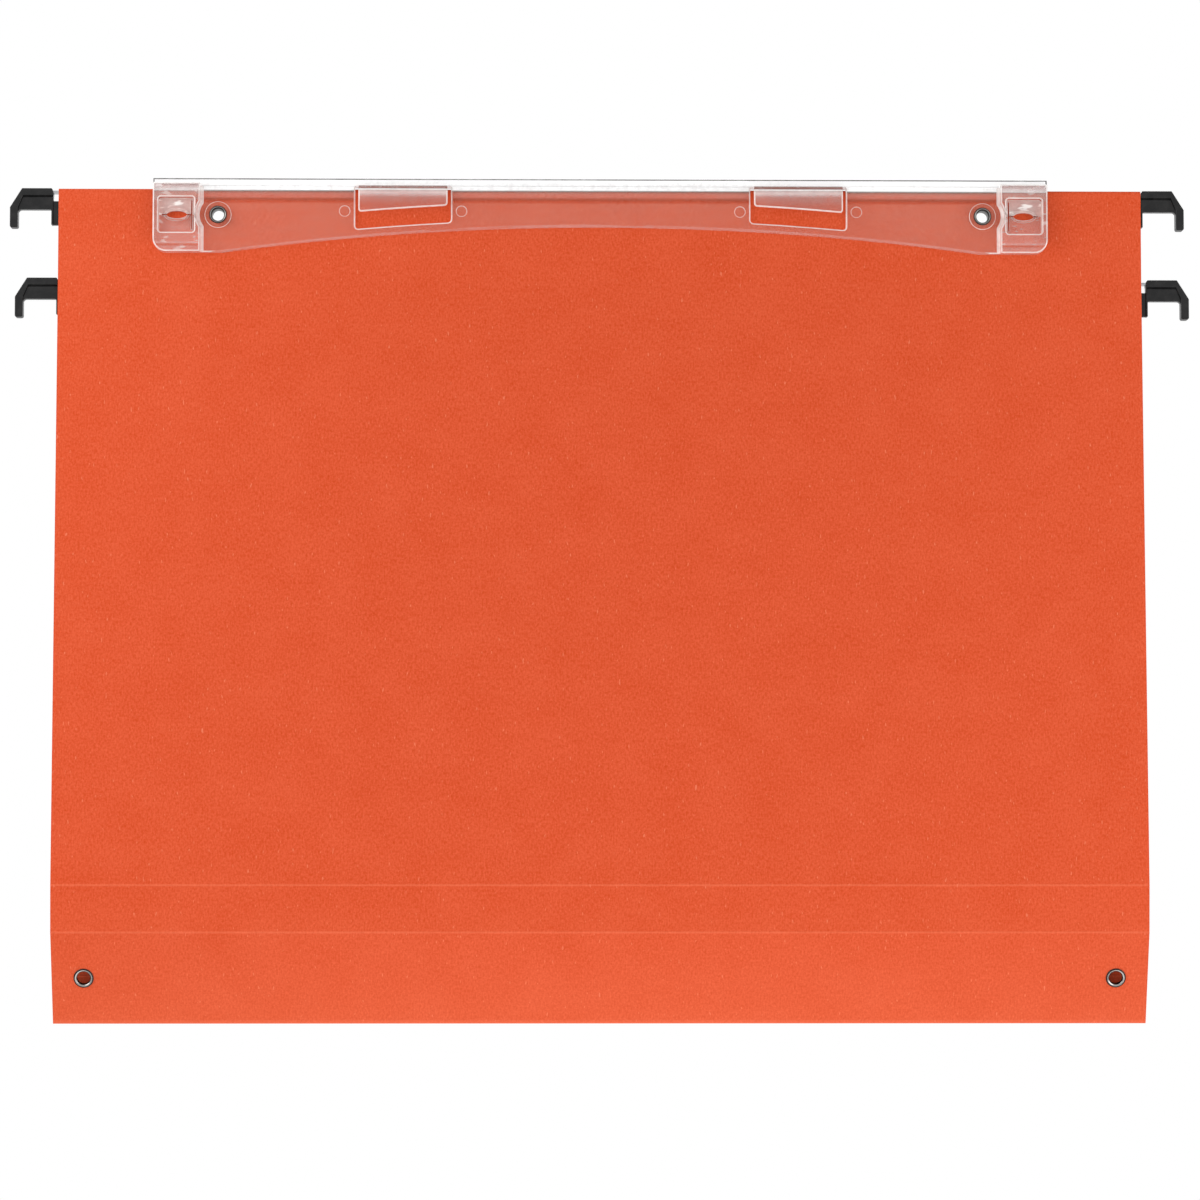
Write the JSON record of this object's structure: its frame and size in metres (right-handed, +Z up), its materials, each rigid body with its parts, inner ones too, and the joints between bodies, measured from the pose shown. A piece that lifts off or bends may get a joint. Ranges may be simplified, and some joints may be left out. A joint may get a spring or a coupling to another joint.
{
  "type": "hanging file folder",
  "caption": "Creased card folder hung from two hemmed steel bars with plastic rail hooks, and a clear label holder along the front edge.",
  "frame": {"origin": "midway between the front hooks' seats, at the height of the rails' top edges", "axes": "+X along the bars to the right as seen from the front, +Y to the rear along the rails, +Z up"},
  "size_m": [0.3459, 0.0148, 0.2467],
  "materials": {
    "orange_card": "matt kraft card",
    "bar_steel": "bright steel",
    "eyelet_steel": "nickel plated",
    "black_plastic": "moulded satin",
    "clear_plastic": "clear, lightly frosted",
    "label_paper": "plain white",
    "stiffener_board": "grey board"
  },
  "bodies": {
    "front_bar": {"front_bar": "bar_steel", "front_left_hook": "black_plastic", "front_right_hook": "black_plastic"},
    "front_panel": {"front_panel": "orange_card", "front_flank": "orange_card", "label_holder": "clear_plastic", "label_left_eyelet": "eyelet_steel", "label_right_eyelet": "eyelet_steel"},
    "label": {"label_insert": "label_paper"},
    "base": {"base_strip": "orange_card", "base_stiffener": "stiffener_board", "base_left_eyelet": "eyelet_steel", "base_right_eyelet": "eyelet_steel"},
    "rear_flank": {"rear_flank": "orange_card"},
    "rear_panel": {"rear_panel": "orange_card"},
    "rear_bar": {"rear_bar": "bar_steel", "rear_left_hook": "black_plastic", "rear_right_hook": "black_plastic"}
  },
  "joints": [
    {"name": "front_hem_slide", "type": "slide", "parent": "front_bar", "child": "front_panel", "axis": [1, 0, 0], "range_m": [-0.0015, 0]},
    {"name": "label_slide", "type": "slide", "parent": "front_panel", "child": "label", "axis": [1, 0, 0], "range_m": [0, 0.262]},
    {"name": "base_swing", "type": "hinge", "parent": "front_panel", "child": "base", "pos_m": [0.00075, -0.00667, -0.21106], "axis": [1, 0, 0], "range_deg": [0, 70.01]},
    {"name": "bottom_fold", "type": "hinge", "parent": "base", "child": "rear_flank", "pos_m": [0.00075, 0.0029, -0.23737], "axis": [1, 0, 0], "range_deg": [-70.01, 0]},
    {"name": "rear_outer_crease", "type": "hinge", "parent": "rear_flank", "child": "rear_panel", "pos_m": [0.00075, 0.0029, -0.22377], "axis": [-1, 0, 0], "range_deg": [0, 90]},
    {"name": "rear_hem_slide", "type": "slide", "parent": "rear_panel", "child": "rear_bar", "axis": [1, 0, 0], "range_m": [-0.0015, 0]}
  ],
  "couplings": [
    {"joint": "bottom_fold", "follows": "base_swing", "ratio": -1}
  ]
}
